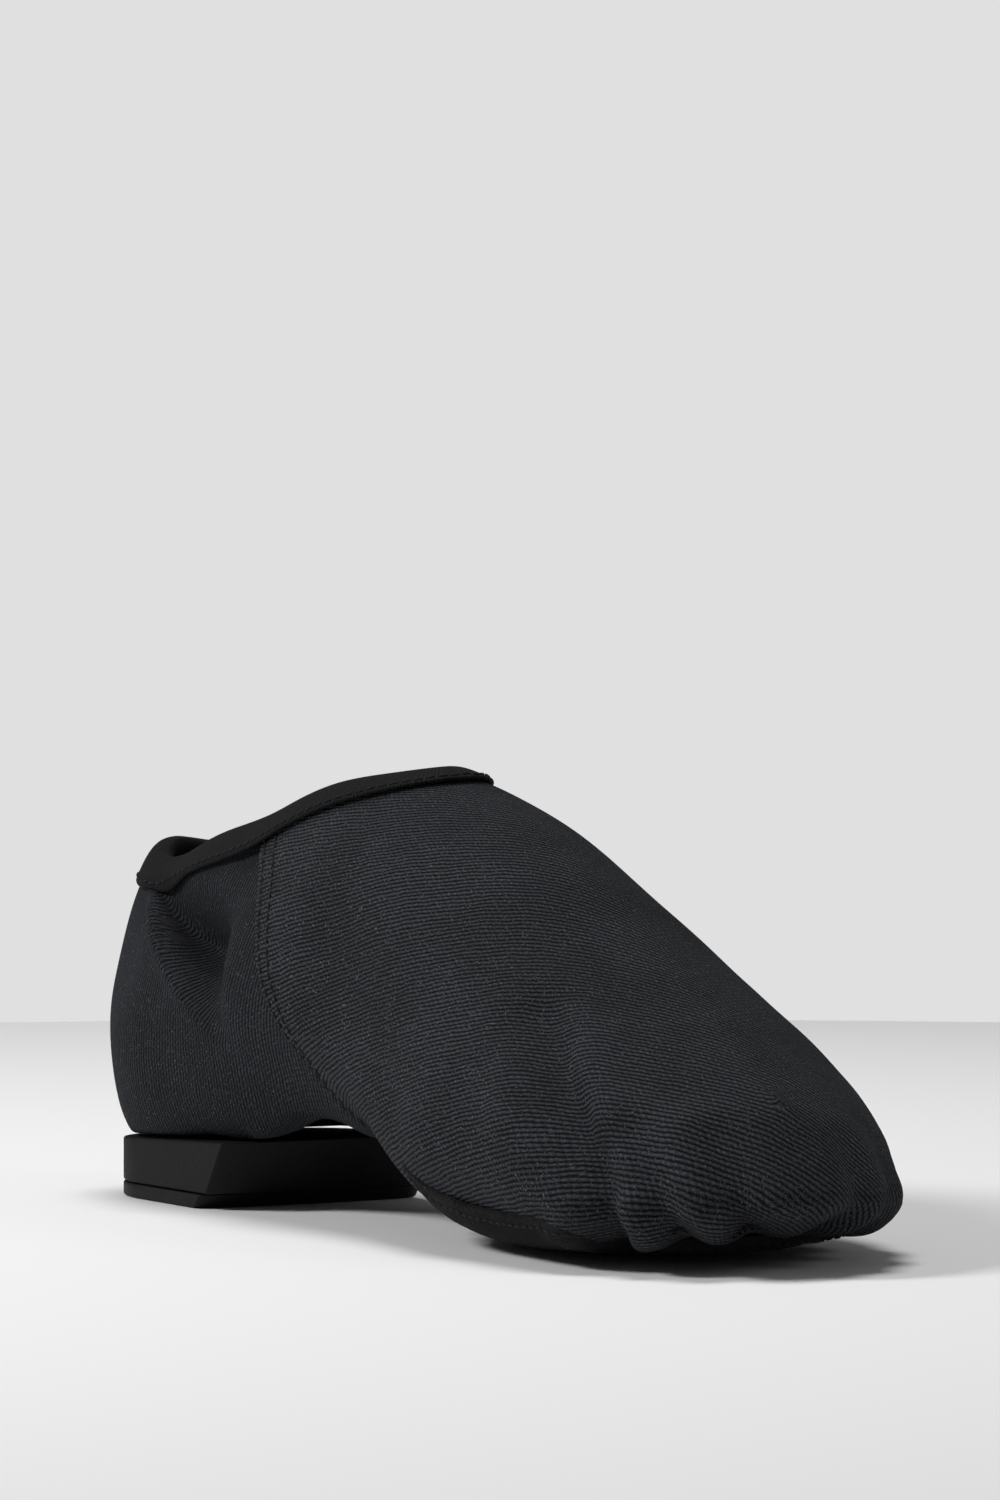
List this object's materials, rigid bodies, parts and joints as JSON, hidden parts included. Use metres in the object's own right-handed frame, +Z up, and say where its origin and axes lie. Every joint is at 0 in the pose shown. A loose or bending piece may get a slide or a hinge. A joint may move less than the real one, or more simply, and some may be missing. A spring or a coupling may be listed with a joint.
{
  "type": "slip-on split-sole dance shoe",
  "caption": "Slip-on canvas dance shoe for the right foot, with a bound opening, a low heel and a separate forefoot patch.",
  "frame": {"origin": "on the floor, under the middle of the whole shoe", "axes": "+X towards the toe, +Y towards the wearer's left, +Z up"},
  "size_m": [0.2468, 0.0918, 0.094],
  "materials": {
    "twill": "black cotton twill, matte with fine lint",
    "lining": "black cotton lining, matte",
    "knit": "black ribbed knit, matte",
    "elastic": "covered elastic cord",
    "board": "fibre board",
    "foam": "soft foam",
    "suede": "black suede with a raised nap",
    "heel_block": "black, matte, slightly pitted",
    "rubber": "black rubber, matte",
    "thread": "black polyester thread, slight sheen"
  },
  "bodies": {
    "forefoot": {"vamp": "twill", "vamp_lining": "lining", "forefoot_outsole": "suede", "outsole_thread": "thread", "forefoot_insole": "board", "ball_pad": "foam", "front_sock_lining": "lining", "seam_thread_right_rear": "thread", "seam_thread_right_front": "thread", "seam_thread_left_rear": "thread", "seam_thread_left_front": "thread"},
    "rearfoot": {"quarter_right": "twill", "quarter_left": "twill", "quarter_lining_right": "lining", "quarter_lining_left": "lining", "heel_counter": "board", "back_seam_tape": "lining", "topline_binding": "knit", "topline_elastic": "elastic", "binding_thread": "thread", "arch_panel": "twill", "heel_seat_board": "board", "heel_pad": "foam", "rear_sock_lining": "lining", "heel_block": "heel_block", "heel_top_piece": "rubber"}
  },
  "joints": [
    {"name": "arch_flex", "type": "hinge", "parent": "forefoot", "child": "rearfoot", "pos_m": [-0.0105, 0, 0.019], "axis": [0, 1, 0], "range_deg": [0, 30], "stiffness_Nm_per_rad": 1.2, "deforming": ["vamp", "vamp_lining", "quarter_right", "quarter_left", "quarter_lining_right", "quarter_lining_left", "topline_binding", "topline_elastic", "binding_thread", "arch_panel", "rear_sock_lining", "seam_thread_right_rear", "seam_thread_right_front", "seam_thread_left_rear", "seam_thread_left_front"]}
  ]
}
